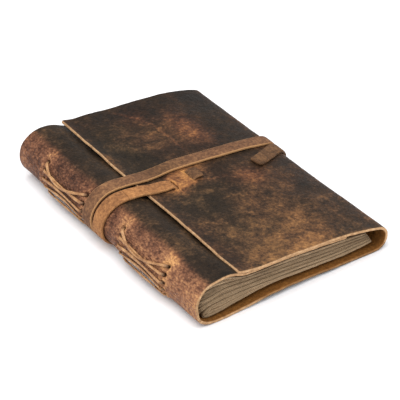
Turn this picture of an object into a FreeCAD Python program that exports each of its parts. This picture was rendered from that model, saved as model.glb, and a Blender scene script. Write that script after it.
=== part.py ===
"""Wrap-around leather notebook cover with its sewn signatures and tie strap.

Frame: X runs across the cover from the spine (-X) to the fore-edge (+X), Y runs along
the spine, Z is up.  The origin is on the table, under the middle of the closed notebook.
"""
import FreeCAD, Part
import math
import os

V = FreeCAD.Vector
doc = FreeCAD.newDocument("notebook_cover")
sheet = doc.addObject("Spreadsheet::Sheet", "Params")

DIMENSIONS = {
    "cover_length": 178.0,      # along the spine
    "cover_width": 132.0,       # spine to fore-edge fold
    "leather": 1.8,             # hide thickness
    "spine_radius": 14.75,
    "fold_radius": 8.3,
    "spine_top_angle": 60.0,    # where the spine wall hands over to the front cover
    "fold_top_angle": 75.0,     # where the fore-edge fold hands over to the flap
    "strap_lift": 2.4,          # recess under the cover for the strap
    "lift_flat": 21.0,          # half length of the recess
    "lift_ramp": 34.0,          # where the underside is flat again
    "strap_width": 9.0,
    "strap_thick": 1.9,
    "strap_gap": 0.2,           # strap to leather
    "strap_floor": 0.12,        # strap to the table
    "strap_press": 0.15,        # how much thinner each face is where the runs cross
    "outer_pass_start": 10.2,    # near edge of the pass that crosses the flap
    "tail_pass_start": 0.8,    # near edge of the tail at the fore-edge
    "tail_end": 103.0,
    "slit_front": 49.0,         # the slit where the strap comes out of the flap
    "slit_back": 61.5,          # the slit where its anchored end goes in
    "tab_end": 74.0,
    "slit_width": 2.2,
    "hinge_line": 17.0,         # where the strap leaves the flap's piece
    "flap_edge": 28.8,
    "front_edge": 103.0,
    "joint_gap": 0.3,           # between pieces that move apart
    "cover_gap": 1.1,           # between flap and front cover, room for the strap's link
    "page_length": 172.0,
    "nose_radius": 1.5,         # folded edge of a signature
    "block_floor": 4.4,
    "thread_radius": 0.75,
    "thread_hole": 0.85,
}
for row, (alias, value) in enumerate(DIMENSIONS.items(), start=1):
    sheet.set(f"A{row}", alias)
    sheet.set(f"B{row}", str(value))
    sheet.setAlias(f"B{row}", alias)
doc.recompute()


def dim(alias):
    """Value of a driving dimension, in millimetres or degrees."""
    return float(sheet.get(alias))


HALF_WIDTH = dim("cover_width") / 2
HALF_LENGTH = dim("cover_length") / 2
LEATHER = dim("leather")
SPINE_R = dim("spine_radius")
FOLD_R = dim("fold_radius")
FOLD_X = dim("cover_width") - FOLD_R

UPRIGHT = FreeCAD.Rotation(V(1, 0, 0), 90)       # sketch axes become X and Z
ACROSS = FreeCAD.Rotation(V(1, 1, 1), 120)       # sketch axes become Y and Z

# Outside of the flap from the fold to its free edge: distance from the spine, height.
FLAP_LINE = [(111.5, 20.1), (96.0, 22.7), (80.0, 23.9), (63.0, 24.6), (47.0, 24.9),
             (37.5, 25.9), (28.8, 28.3)]
# Outside of the front cover, from the top of the spine to its free edge under the flap.
FRONT_LINE = [(14.75, 29.5), (21.5, 28.9), (28.0, 26.3), (36.0, 23.0), (46.0, 22.0),
              (63.0, 21.7), (80.0, 21.0), (96.0, 19.7), (103.0, 18.8)]


def arc_points(centre_x, radius, start, stop, lift, steps, mirror):
    """Points on the cover's round edge.  The lower half is flattened by the lift."""
    points = []
    for index in range(steps + 1):
        angle = math.radians(start + (stop - start) * index / steps)
        drop = lift if angle < 0 else 0.0
        x = centre_x + mirror * radius * math.cos(angle)
        z = centre_height(mirror) + (radius - drop) * math.sin(angle)
        points.append((x, z))
    return points


def centre_height(mirror):
    """Height of the round edge's centre: spine (-1) or fore-edge fold (+1)."""
    return SPINE_R if mirror < 0 else FOLD_R


def inset(points, distance):
    """The same outline moved sideways, to the right of its direction of travel."""
    moved = []
    for index, point in enumerate(points):
        before = points[max(index - 1, 0)]
        after = points[min(index + 1, len(points) - 1)]
        run = (after[0] - before[0], after[1] - before[1])
        size = math.hypot(*run)
        moved.append((point[0] + run[1] / size * distance,
                      point[1] - run[0] / size * distance))
    return moved


def curve(points):
    """Smooth curve through outline points, in sketch coordinates."""
    line = Part.BSplineCurve()
    line.interpolate([V(x - HALF_WIDTH, z, 0) for x, z in points])
    return line


def band_sketch(name, outer, inner, station):
    """Closed section between two smooth outlines, set across the cover at a station."""
    sketch = doc.addObject("Sketcher::SketchObject", name)
    sketch.addGeometry(curve(outer), False)
    sketch.addGeometry(curve(inner), False)
    for end in (0, -1):
        first = V(outer[end][0] - HALF_WIDTH, outer[end][1], 0)
        second = V(inner[end][0] - HALF_WIDTH, inner[end][1], 0)
        sketch.addGeometry(Part.LineSegment(first, second), False)
    sketch.Placement = FreeCAD.Placement(V(0, 0, 0), UPRIGHT)
    sketch.setExpression("Placement.Base.y", station)
    return sketch


def polygon_sketch(name, corners, rotation):
    """Closed straight-sided sketch."""
    sketch = doc.addObject("Sketcher::SketchObject", name)
    for start, stop in zip(corners, corners[1:] + corners[:1]):
        sketch.addGeometry(Part.LineSegment(V(*start, 0), V(*stop, 0)), False)
    sketch.Placement = FreeCAD.Placement(V(0, 0, 0), rotation)
    return sketch


def extrusion(name, sketch, direction, length):
    """Solid made by pushing a sketch along a world direction."""
    solid = doc.addObject("Part::Extrusion", name)
    solid.Base = sketch
    solid.DirMode = "Custom"
    solid.Dir = V(*direction)
    solid.Solid = True
    solid.setExpression("LengthFwd", length)
    return solid


def loft(name, sections):
    """Solid with straight rulings through its sections."""
    solid = doc.addObject("Part::Loft", name)
    solid.Sections = sections
    solid.Solid = True
    solid.Ruled = True
    return solid


def fuse(name, shapes):
    """One solid out of several that meet."""
    solid = doc.addObject("Part::MultiFuse", name)
    solid.Shapes = shapes
    return solid


def cut(name, base, tool):
    """The base with the tool taken away."""
    solid = doc.addObject("Part::Cut", name)
    solid.Base = base
    solid.Tool = tool
    return solid


def band(name, outer, inner, start, length):
    """Straight strip of sheet: a section pushed along Y from its start."""
    sketch = band_sketch(name + "_section", outer, inner, start)
    return extrusion(name, sketch, (0, 1, 0), length)


# ---------------------------------------------------------------- the hide
STATIONS = [("-Params.cover_length / 2", 0.0), ("-Params.lift_ramp", 0.0),
            ("-Params.lift_flat", 1.0), ("Params.lift_flat", 1.0),
            ("Params.lift_ramp", 0.0), ("Params.cover_length / 2", 0.0)]


def round_edge(name, centre_x, radius, top_angle, mirror):
    """Round wall of hide along one long edge, raised in the middle for the strap."""
    sections = []
    for number, (station, share) in enumerate(STATIONS):
        lift = dim("strap_lift") * share
        outer = arc_points(centre_x, radius, -90.0, top_angle, lift, 11, mirror)
        inner = arc_points(centre_x, radius - LEATHER, -90.0, top_angle, lift, 11, mirror)
        sections.append(band_sketch(f"{name}_section_{number}", outer, inner, station))
    return loft(name, sections)


spine_solid = round_edge("spine_solid", SPINE_R, SPINE_R, dim("spine_top_angle"), -1)
fore_edge_fold = round_edge("fore_edge_fold", FOLD_X, FOLD_R, dim("fold_top_angle"), 1)

lift = dim("strap_lift")
ramp = dim("lift_ramp")
level = dim("lift_flat")
underside = [(-HALF_LENGTH, 0), (-ramp, 0), (-level, lift), (level, lift), (ramp, 0),
             (HALF_LENGTH, 0)]
back_outline = underside + [(y, z + LEATHER) for y, z in reversed(underside)]
back_sketch = polygon_sketch("back_section", back_outline, ACROSS)
back_sketch.setExpression("Placement.Base.x", "Params.spine_radius - Params.cover_width / 2")
back_cover = extrusion("back_cover", back_sketch, (1, 0, 0),
                       "Params.cover_width - Params.spine_radius - Params.fold_radius")

handover = dim("spine_top_angle") + math.degrees(dim("joint_gap") / SPINE_R)
front_outer = arc_points(SPINE_R, SPINE_R, handover, 86.0, 0.0, 5, -1) + FRONT_LINE
front_inner = inset(front_outer, LEATHER)
front_cover = band("front_cover", front_outer, front_inner,
                   "-Params.cover_length / 2", "Params.cover_length")

crown = math.radians(dim("fold_top_angle"))
gap = dim("joint_gap")
flap_start = (FOLD_X + FOLD_R * math.cos(crown) - gap * math.sin(crown),
              FOLD_R + FOLD_R * math.sin(crown) + gap * math.cos(crown))
flap_outer = [flap_start] + FLAP_LINE
flap_inner = inset(flap_outer, -LEATHER)
flap_sheet = band("flap_sheet", flap_outer, flap_inner,
                  "-Params.cover_length / 2", "Params.cover_length")


def slit(name, place):
    """Knife cut through the flap, as wide as the strap."""
    box = doc.addObject("Part::Box", name)
    box.setExpression("Length", "Params.slit_width")
    box.setExpression("Width", "Params.strap_width + 2 * Params.strap_gap")
    box.setExpression("Height", "5 * Params.leather")
    box.setExpression("Placement.Base.x", f"Params.{place} - Params.cover_width / 2")
    box.setExpression("Placement.Base.y", "-Params.strap_width / 2 - Params.strap_gap")
    box.setExpression("Placement.Base.z", "Params.fold_radius * 2.4")
    return box


slits = fuse("slits", [slit("slit_a", "slit_front"), slit("slit_b", "slit_back")])
flap = cut("flap", flap_sheet, slits)

# ---------------------------------------------------------------- the strap
STRAP = dim("strap_thick")
GAP = dim("strap_gap")
FLOOR = dim("strap_floor")
HALF_STRAP = "-Params.strap_width / 2"


def flap_height(x):
    """Height of the flap's outside at a distance from the spine."""
    points = flap_outer
    for right, left in zip(points, points[1:]):
        if left[0] <= x <= right[0]:
            share = (x - left[0]) / (right[0] - left[0])
            return left[1] + share * (right[1] - left[1])
    return points[-1][1]


def on_flap(places, rise):
    """Outline points that lie on the flap."""
    return [(x, flap_height(x) + rise) for x in places]


def strip(name, line, thick, start):
    """Length of strap whose underside follows a line that runs from fold to spine."""
    return band(name, line, inset(line, thick), start, "Params.strap_width")


# Anchored end: a tab on the flap, down one slit, under the flap, up the other slit.
front_slit = dim("slit_front")
back_slit = dim("slit_back")
run_on_flap = on_flap([front_slit + 2.0, 44.0, 38.0, 33.0], GAP)
root_line = run_on_flap + [(28.4, 29.0), (22.0, 29.55), (dim("hinge_line") + 0.1, 29.8)]
root_run = strip("root_run", root_line, STRAP, HALF_STRAP)
tab_line = on_flap([dim("tab_end"), 68.0, back_slit + 0.2], GAP)
root_tab = strip("root_tab", tab_line, STRAP, HALF_STRAP)
link_thick = dim("cover_gap") - 0.45
link_line = on_flap([back_slit + 2.0, 56.0, front_slit + 0.2], -LEATHER - link_thick - 0.12)
root_link = strip("root_link", link_line, link_thick, HALF_STRAP)


def riser(name, place):
    """Part of the strap that stands in a slit."""
    box = doc.addObject("Part::Box", name)
    box.setExpression("Length", "Params.slit_width - 2 * Params.strap_gap")
    box.setExpression("Width", "Params.strap_width")
    box.Height = LEATHER + link_thick + GAP + 0.9
    x = dim(place) + GAP
    box.setExpression("Placement.Base.x", f"Params.{place} + {GAP} - Params.cover_width / 2")
    box.setExpression("Placement.Base.y", HALF_STRAP)
    box.Placement.Base.z = flap_height(x + 0.9) - LEATHER - link_thick - 0.02
    return box


strap_root = fuse("strap_root", [root_run, root_tab, root_link,
                                 riser("riser_front", "slit_front"),
                                 riser("riser_back", "slit_back")])


def around(centre_x, radius, start, stop, mirror):
    """Underside of the strap where it bends round a long edge of the raised middle."""
    room = radius + GAP
    points = []
    for index in range(13):
        angle = math.radians(start + (stop - start) * index / 12)
        fall = lift - FLOOR - STRAP - GAP
        drop = lift - fall if angle < 0 else 0.0
        points.append((centre_x + mirror * room * math.cos(angle),
                       centre_height(mirror) + (room - drop) * math.sin(angle)))
    return points


UNDER_LINE = [(SPINE_R + 6.0, FLOOR + STRAP)]
hinge_start = (dim("hinge_line") - 0.1, 29.8)
first_pass = [hinge_start] + around(SPINE_R, SPINE_R, 84.0, -90.0, -1) + UNDER_LINE
spine_turn = strip("spine_turn", first_pass, STRAP, HALF_STRAP)

fold_round = around(FOLD_X, FOLD_R, -90.0, 74.0, 1)
fold_under = [(FOLD_X - 6.0, FLOOR + STRAP)]
over_top = on_flap([111.5, 96.0, 80.0, 63.0, 47.0, 38.0, 33.0], GAP)
across_edge = [(28.4, 29.0), (22.0, 29.6)]
second_pass = (fold_under + fold_round + over_top + across_edge
               + around(SPINE_R, SPINE_R, 84.0, -90.0, -1) + UNDER_LINE)
outer_turn = strip("outer_turn", second_pass, STRAP, "Params.outer_pass_start")

tail_pass = fold_under + fold_round + on_flap([117.0, 110.0, dim("tail_end")], GAP)
tail_turn = strip("tail_turn", tail_pass, STRAP, "Params.tail_pass_start")


def under_run(name, spine_side, fold_side):
    """Strap crossing the underside, given the near edge at each long edge."""
    left = SPINE_R + 1.0 - HALF_WIDTH
    right = FOLD_X - 1.0 - HALF_WIDTH
    width = dim("strap_width")
    corners = [(left, spine_side), (right, fold_side), (right, fold_side + width),
               (left, spine_side + width)]
    sketch = polygon_sketch(name + "_outline", corners, FreeCAD.Rotation())
    sketch.setExpression("Placement.Base.z", "Params.strap_floor + Params.strap_press")
    return extrusion(name, sketch, (0, 0, 1), "Params.strap_thick - 2 * Params.strap_press")


outer_start = dim("outer_pass_start")
strap_winding = fuse("strap_winding", [
    spine_turn, outer_turn, tail_turn,
    under_run("first_crossing", -dim("strap_width") / 2, outer_start),
    under_run("second_crossing", outer_start, dim("tail_pass_start")),
])

# ---------------------------------------------------------------- the signatures
SIGNATURES = 5
NOSES = [(7.6, 23.3), (4.9, 19.5), (4.0, 15.6), (4.2, 12.0), (7.2, 8.3)]
MIDDLE_X = 37.0
MIDDLE_TOP = 20.2
EDGE_TOP = 13.8
EDGE_X = [118.5, 119.5, 120.6, 121.8, 123.0]
SLACK = 0.18


def signature(index):
    """Gathering of folded sheets: a round fold at the spine and a flat fore-edge."""
    floor = dim("block_floor")
    radius = dim("nose_radius")
    nose_x, nose_z = NOSES[index]
    middle_pitch = (MIDDLE_TOP - floor) / SIGNATURES
    edge_pitch = (EDGE_TOP - floor) / SIGNATURES
    middle_top = MIDDLE_TOP - index * middle_pitch - SLACK / 2
    middle_low = middle_top - middle_pitch + SLACK
    edge_top = EDGE_TOP - index * edge_pitch - SLACK / 2
    edge_low = edge_top - edge_pitch + SLACK
    edge_x = EDGE_X[index]
    shift = -HALF_WIDTH
    sketch = doc.addObject("Sketcher::SketchObject", f"signature_{index + 1}_section")
    upper = V(nose_x + shift, nose_z + radius, 0)
    lower = V(nose_x + shift, nose_z - radius, 0)
    nose = Part.Arc(upper, V(nose_x - radius + shift, nose_z, 0), lower)
    sketch.addGeometry(nose, False)
    corners = [lower, V(MIDDLE_X + shift, middle_low, 0), V(edge_x + shift, edge_low, 0),
               V(edge_x + shift, edge_top, 0), V(MIDDLE_X + shift, middle_top, 0), upper]
    for start, stop in zip(corners, corners[1:]):
        sketch.addGeometry(Part.LineSegment(start, stop), False)
    sketch.Placement = FreeCAD.Placement(V(0, 0, 0), UPRIGHT)
    sketch.setExpression("Placement.Base.y", "-Params.page_length / 2")
    return extrusion(f"signature_{index + 1}", sketch, (0, 1, 0), "Params.page_length")


signatures = [signature(index) for index in range(SIGNATURES)]

# ---------------------------------------------------------------- the sewing
STITCH_ANGLES = [42.0, 20.5, -1.0, -22.5, -44.0]
STITCH_RISE = 0.85          # from the outside of the spine to the middle of a long stitch
STATION_PAIRS = {"sewing_near": (-59.5, -16.5), "sewing_far": (21.0, 62.5)}


def peg(name, angle, station, radius):
    """Short rod square to the spine wall, through it."""
    turn = math.radians(angle)
    outside = SPINE_R + STITCH_RISE
    rod = doc.addObject("Part::Cylinder", name)
    rod.setExpression("Radius", f"Params.{radius}")
    rod.Height = LEATHER + 0.95
    base = V(SPINE_R - HALF_WIDTH - outside * math.cos(turn), station,
             SPINE_R + outside * math.sin(turn))
    inward = V(math.cos(turn), 0, -math.sin(turn))
    rod.Placement = FreeCAD.Placement(base, FreeCAD.Rotation(V(0, 0, 1), inward))
    return rod


def stitch(name, angle, near, far):
    """Long stitch along the spine with both ends turned in through the wall."""
    turn = math.radians(angle)
    outside = SPINE_R + STITCH_RISE
    rod = doc.addObject("Part::Cylinder", name + "_run")
    rod.setExpression("Radius", "Params.thread_radius")
    rod.Height = far - near
    base = V(SPINE_R - HALF_WIDTH - outside * math.cos(turn), near,
             SPINE_R + outside * math.sin(turn))
    rod.Placement = FreeCAD.Placement(base, FreeCAD.Rotation(V(0, 0, 1), V(0, 1, 0)))
    ends = [peg(f"{name}_end_{number}", angle, place, "thread_radius")
            for number, place in enumerate((near, far))]
    knobs = []
    for number, place in enumerate((near, far)):
        knob = doc.addObject("Part::Sphere", f"{name}_knob_{number}")
        knob.setExpression("Radius", "Params.thread_radius")
        knob.Placement.Base = V(base.x, place, base.z)
        knobs.append(knob)
    return fuse(name, [rod] + ends + knobs)


holes = []
sewing = []
for group, (near, far) in STATION_PAIRS.items():
    stitches = []
    for number, angle in enumerate(STITCH_ANGLES, start=1):
        stitches.append(stitch(f"{group}_stitch_{number}", angle, near, far))
        for place in (near, far):
            holes.append(peg(f"hole_{len(holes)}", angle, place, "thread_hole"))
    compound = doc.addObject("Part::Compound", group)
    compound.Links = stitches
    sewing.append(compound)
doc.recompute()
spine_wall = doc.addObject("Part::Feature", "spine_wall")
spine_wall.Shape = spine_solid.Shape.cut([hole.Shape for hole in holes])

# ---------------------------------------------------------------- files
pieces = [back_cover, spine_wall, front_cover, fore_edge_fold, flap, strap_root,
          strap_winding] + signatures + sewing
doc.recompute()
for item in doc.Objects:
    if "Invalid" in item.State or "Error" in item.State:
        raise RuntimeError(f"{item.Name} did not build: {item.State}")
os.makedirs("parts", exist_ok=True)
for piece in pieces:
    shape = piece.Shape
    if shape.isNull() or not shape.isValid() or not shape.Solids:
        raise RuntimeError(f"{piece.Name} has no valid solid")
    piece.Label = piece.Name
    box = shape.BoundBox
    print(f"{piece.Name:16s} solids {len(shape.Solids)}  volume {shape.Volume:9.1f}  "
          f"x {box.XMin:7.2f} {box.XMax:7.2f}  y {box.YMin:7.2f} {box.YMax:7.2f}  "
          f"z {box.ZMin:6.2f} {box.ZMax:6.2f}")
    shape.exportStep(f"parts/{piece.Name}.step")
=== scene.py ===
"""A wrap-around leather notebook cover: one waxed hide, a tie strap, sewn paper signatures.

Every size of the cover is in millimetres on the maker's own axes: x runs from the spine's
outermost leather to the fore-edge, y along the spine from the middle, z up from the table.
to_world turns them into the frame's metres. The studio's sizes are in the frame's metres.
"""

from __future__ import annotations

import logging
import math
from dataclasses import dataclass
from enum import Enum

import bpy
import numpy as np
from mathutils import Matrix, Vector

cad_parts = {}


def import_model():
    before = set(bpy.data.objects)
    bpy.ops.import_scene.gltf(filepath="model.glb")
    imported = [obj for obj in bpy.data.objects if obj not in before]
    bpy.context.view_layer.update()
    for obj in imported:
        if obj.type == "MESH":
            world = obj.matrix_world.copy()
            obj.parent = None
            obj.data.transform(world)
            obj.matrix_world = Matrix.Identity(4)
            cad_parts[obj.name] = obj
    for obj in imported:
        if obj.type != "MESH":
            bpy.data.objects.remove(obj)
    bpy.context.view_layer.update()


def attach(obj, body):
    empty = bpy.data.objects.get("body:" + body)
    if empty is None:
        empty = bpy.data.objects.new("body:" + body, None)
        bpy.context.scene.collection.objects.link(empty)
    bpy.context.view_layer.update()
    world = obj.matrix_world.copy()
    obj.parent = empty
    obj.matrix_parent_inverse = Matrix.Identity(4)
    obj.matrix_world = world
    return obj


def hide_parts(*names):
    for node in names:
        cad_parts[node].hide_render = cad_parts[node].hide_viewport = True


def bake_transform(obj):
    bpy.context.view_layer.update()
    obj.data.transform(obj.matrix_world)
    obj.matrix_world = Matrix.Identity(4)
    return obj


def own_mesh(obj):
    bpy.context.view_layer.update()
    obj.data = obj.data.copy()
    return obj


Material = bpy.types.Material
Socket = bpy.types.NodeSocket
Tree = bpy.types.NodeTree
Mesh = tuple[np.ndarray, np.ndarray, dict[str, np.ndarray]]

log = logging.getLogger("notebook_cover")

# The hide: half its width and length, its thickness, the outer radii of the spine and the
# fold, and the x of the fold's centre.
HALF_BODY = 66.0
HALF_LENGTH = 89.0
LEATHER = 1.8
SPINE_R = 14.75
FOLD_R = 8.3
FOLD_X = 123.7
# How far the middle of the underside is raised, and where the hide's two sheets meet.
UNDER_LIFT = 2.4
SEAM_X = 20.0


# ---------------------------------------------------------------- small tools


def to_world(points: np.ndarray) -> np.ndarray:
    """Maker's millimetres to the frame's metres: x less half the body, then divided by 1000.

    Args:
        points: array whose last axis holds x, y, z.

    Returns:
        The same points in metres.
    """
    return (np.asarray(points, float) - (HALF_BODY, 0.0, 0.0)) / 1000.0


def linear(hex_colour: str) -> tuple[float, float, float, float]:
    """An sRGB hex colour in linear light: c / 12.92 when dark, else ((c + 0.055) / 1.055)^2.4.

    Args:
        hex_colour: a hash sign and six digits.

    Returns:
        Red, green, blue and an alpha of 1.
    """
    channels = np.array([int(hex_colour[i : i + 2], 16) for i in (1, 3, 5)]) / 255.0
    low = channels / 12.92
    high = ((channels + 0.055) / 1.055) ** 2.4
    return (*np.where(channels <= 0.04045, low, high), 1.0)


def per_metre(millimetres: float) -> float:
    """The texture scale whose pattern repeats about every so many millimetres."""
    return 1000.0 / millimetres


def ease(t: np.ndarray) -> np.ndarray:
    """Smooth step: 0 below 0, 1 above 1, 3t^2 - 2t^3 between."""
    t = np.clip(t, 0.0, 1.0)
    return t * t * (3.0 - 2.0 * t)


def lattice_noise(u: np.ndarray, v: np.ndarray, size: float, seed: int) -> np.ndarray:
    """Value noise from -1 to 1: seeded random numbers on a square lattice, eased between.

    Args:
        u: first coordinate of each point, mm.
        v: second coordinate of each point, mm.
        size: spacing of the lattice, mm.
        seed: seed of the lattice's random numbers.

    Returns:
        One value for each point.
    """
    table = np.random.default_rng(seed).uniform(-1.0, 1.0, (128, 128))
    a, b = np.asarray(u, float) / size + 64.0, np.asarray(v, float) / size + 64.0
    i, j = np.floor(a).astype(int), np.floor(b).astype(int)
    fa, fb = ease(a - i), ease(b - j)
    i0, i1, j0, j1 = i % 128, (i + 1) % 128, j % 128, (j + 1) % 128
    low = table[i0, j0] * (1 - fa) + table[i1, j0] * fa
    high = table[i0, j1] * (1 - fa) + table[i1, j1] * fa
    return low * (1 - fb) + high * fb


def line_noise(u: np.ndarray, size: float, seed: int) -> np.ndarray:
    """Value noise along one line of the lattice."""
    return lattice_noise(u, np.zeros_like(u), size, seed)


def hill(t: np.ndarray, at: float, wide: float, power: int = 2) -> np.ndarray:
    """A round hill, 1 at its middle: exp(-((t - at) / wide)^power)."""
    return np.exp(-(((t - at) / wide) ** power))


def cubic_through(points: np.ndarray, step: float = 0.1) -> np.ndarray:
    """A natural cubic spline through points, sampled at even steps of its own length.

    The knots are the running chord length; the second derivatives solve the usual
    tridiagonal system, and each span is the cubic that they give.

    Args:
        points: n points in any number of axes.
        step: distance between samples, mm.

    Returns:
        The samples, from the first point to within a step of the last.
    """
    p = np.asarray(points, float)
    h = np.linalg.norm(np.diff(p, axis=0), axis=1)
    t = np.concatenate([[0.0], np.cumsum(h)])
    n = len(p)
    m = np.eye(n)
    rhs = np.zeros_like(p)
    k = np.arange(1, n - 1)
    m[k, k - 1], m[k, k], m[k, k + 1] = h[:-1], 2 * (h[:-1] + h[1:]), h[1:]
    slope = np.diff(p, axis=0) / h[:, None]
    rhs[1:-1] = 6 * (slope[1:] - slope[:-1])
    second = np.linalg.solve(m, rhs)
    s = np.linspace(0.0, t[-1], max(8, int(t[-1] / step * 2)))
    i = np.clip(np.searchsorted(t, s, side="right") - 1, 0, n - 2)
    a, b, w = (t[i + 1] - s)[:, None], (s - t[i])[:, None], h[i][:, None]
    q = (second[i] * a**3 + second[i + 1] * b**3) / (6 * w)
    q += (p[i] / w - second[i] * w / 6) * a + (p[i + 1] / w - second[i + 1] * w / 6) * b
    return along(q, np.arange(0.0, length_of(q)[-1], step))


def length_of(line: np.ndarray) -> np.ndarray:
    """The distance along a line at each of its points."""
    return np.concatenate([[0.0], np.cumsum(np.linalg.norm(np.diff(line, axis=0), axis=1))])


def along(line: np.ndarray, distances: np.ndarray) -> np.ndarray:
    """The points of a line at given distances along it, each axis interpolated."""
    s = length_of(line)
    return np.stack([np.interp(distances, s, line[:, k]) for k in range(line.shape[1])], 1)


def tangents(line: np.ndarray) -> np.ndarray:
    """Unit tangents of a line, by central differences."""
    d = np.gradient(line, axis=0)
    return d / np.linalg.norm(d, axis=1)[:, None]


def arc(cx: float, cz: float, radius: float, first: float, last: float, steps: int) -> list[tuple]:
    """Points on a circle of the x, z plane from one angle to another, in degrees."""
    a = np.radians(np.linspace(first, last, steps))
    return [(cx + radius * c, cz + radius * s) for c, s in zip(np.cos(a), np.sin(a))]


def under_lift(y: np.ndarray) -> np.ndarray:
    """How far the underside is raised: all of it up to 21 mm from the middle, none past 34."""
    return UNDER_LIFT * (1.0 - ease((np.abs(y) - 21.0) / 13.0))


def near_bow(x: np.ndarray, y: np.ndarray) -> np.ndarray:
    """The near end of the back bows off the table: up to 2.2 mm, most near x 58."""
    along_x = ease((x - 24.0) / 32.0) * (1.0 - ease((x - 60.0) / 60.0))
    return 2.2 * along_x * ease((-y - 45.0) / 38.0)


def fore_edge_skew(x: np.ndarray, y: np.ndarray) -> np.ndarray:
    """The fold isn't quite square: it leans out 1.4 mm at the near end and in 1.5 at the far one."""
    lean = np.where(y < 0, 2.4 * (np.abs(y) / HALF_LENGTH) ** 1.6, -0.5 * np.abs(y) / HALF_LENGTH)
    return (lean - 1.0) * ease((x - 55.0) / 60.0)


def bumps(x: np.ndarray, y: np.ndarray, table: tuple) -> np.ndarray:
    """The sum of round hills: each is its height times exp(-(dx/wide)^2 - (dy/long)^2).

    Args:
        x: place of each point across the cover, mm.
        y: place of each point along the spine, mm.
        table: x, y, half width, half length and height of each hill.

    Returns:
        One value for each point.
    """
    total = np.zeros(np.broadcast(x, y).shape)
    for cx, cy, wide, long, height in table:
        total += height * np.exp(-(((x - cx) / wide) ** 2) - ((y - cy) / long) ** 2)
    return total


def crease(x: np.ndarray, y: np.ndarray, path: tuple, wide: float) -> np.ndarray:
    """How near each point is to a broken line: exp(-(distance / wide)^2) to its nearest span.

    Args:
        x: place of each point across the cover, mm.
        y: place of each point along the spine, mm.
        path: the places that the line passes.
        wide: distance at which the value has fallen to 1/e, mm.

    Returns:
        One value from 0 to 1 for each point.
    """
    near = np.zeros(np.broadcast(x, y).shape)
    for (ax, ay), (bx, by) in zip(path, path[1:]):
        dx, dy = bx - ax, by - ay
        t = np.clip(((x - ax) * dx + (y - ay) * dy) / (dx**2 + dy**2), 0, 1)
        off = np.hypot(x - ax - t * dx, y - ay - t * dy)
        near = np.maximum(near, hill(off, 0.0, wide))
    return near


# ---------------------------------------------------------------- meshes


def put_mesh(
    name: str, points: np.ndarray, faces: np.ndarray, marks: dict[str, np.ndarray] | None = None
) -> bpy.types.Object:
    """A smooth-shaded object from whole arrays, with its faces turned to point outwards.

    The volume that the faces enclose is the sum of a . (b x c) / 6 over their triangles;
    where it is negative, every face is reversed.

    Args:
        name: the object's name.
        points: vertices in the maker's millimetres.
        faces: quads, one row of four vertex numbers each; a triangle repeats its last.
        marks: float attributes on the vertices.

    Returns:
        The object, at the origin.
    """
    co = to_world(points)
    a, b, c, d = (co[faces[:, k]] for k in range(4))
    volume = np.einsum("ij,ij->", a, np.cross(b, c)) + np.einsum("ij,ij->", a, np.cross(c, d))
    if volume < 0:
        faces = faces[:, ::-1]
    mesh = bpy.data.meshes.new(name)
    mesh.from_pydata(co, [], [list(dict.fromkeys(f)) for f in faces.tolist()])
    for key, values in (marks or {}).items():
        mark = mesh.attributes.new(key, "FLOAT", "POINT")
        mark.data.foreach_set("value", np.asarray(values, np.float32).ravel())
    mesh.polygons.foreach_set("use_smooth", np.ones(len(mesh.polygons), bool))
    mesh.validate()
    mesh.update()
    obj = bpy.data.objects.new(name, mesh)
    bpy.context.scene.collection.objects.link(obj)
    return obj


def closed_sheet(
    outer: np.ndarray, inner: np.ndarray, gone: np.ndarray | None = None
) -> tuple[np.ndarray, np.ndarray]:
    """Two grids joined into one closed sheet, with walls round it and round its holes.

    A wall quad joins the two grids at each cell edge that has a kept cell on one side
    only, so the border and any hole close in the same way.

    Args:
        outer: rows x columns x 3 grid of the outside.
        inner: the grid of the inside, of the same shape.
        gone: cells left out, a (rows - 1) x (columns - 1) array of booleans.

    Returns:
        The vertices, and the quads as rows of four numbers.
    """
    rows, cols = outer.shape[:2]
    kept = np.ones((rows - 1, cols - 1), bool) if gone is None else ~gone
    n = np.arange(rows * cols).reshape(rows, cols)
    quad = np.stack([n[:-1, :-1], n[1:, :-1], n[1:, 1:], n[:-1, 1:]], -1)[kept]
    total = rows * cols
    faces = [quad, quad[:, ::-1] + total]
    padded = np.pad(kept, 1)
    for axis in (0, 1):
        low = padded[:-1, 1:-1] if axis == 0 else padded[1:-1, :-1]
        high = padded[1:, 1:-1] if axis == 0 else padded[1:-1, 1:]
        a = n[:, :-1] if axis == 0 else n[:-1, :]
        b = n[:, 1:] if axis == 0 else n[1:, :]
        for edge, flip in ((low & ~high, axis == 1), (high & ~low, axis == 0)):
            p, q = (b[edge], a[edge]) if flip else (a[edge], b[edge])
            faces.append(np.stack([q, p, p + total, q + total], -1))
    points = np.concatenate([outer.reshape(-1, 3), inner.reshape(-1, 3)])
    return points, np.concatenate(faces)


def joined(parts: list[Mesh]) -> Mesh:
    """Several meshes as one; each one's quads are moved on by the vertices before it.

    Args:
        parts: vertices, quads and marks of each; all have the same marks.

    Returns:
        The vertices, quads and marks of the whole.
    """
    points, faces, marks = zip(*parts)
    starts = np.cumsum([0] + [len(p) for p in points[:-1]])
    moved = [f + start for f, start in zip(faces, starts)]
    whole = {key: np.concatenate([m[key] for m in marks]) for key in marks[0]}
    return np.concatenate(points), np.concatenate(moved), whole


def rounded_section(count: int, roundness: float = 5.0) -> np.ndarray:
    """A flat strip's section within -1 to 1: the superellipse |x|^n + |z|^n = 1.

    Args:
        count: number of points round it.
        roundness: the power n; higher is squarer.

    Returns:
        The points, as rows of two.
    """
    a = np.arange(count) / count * 2 * np.pi + np.pi / count
    circle = np.stack([np.cos(a), np.sin(a)], 1)
    return np.sign(circle) * np.abs(circle) ** (2 / roundness)


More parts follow.
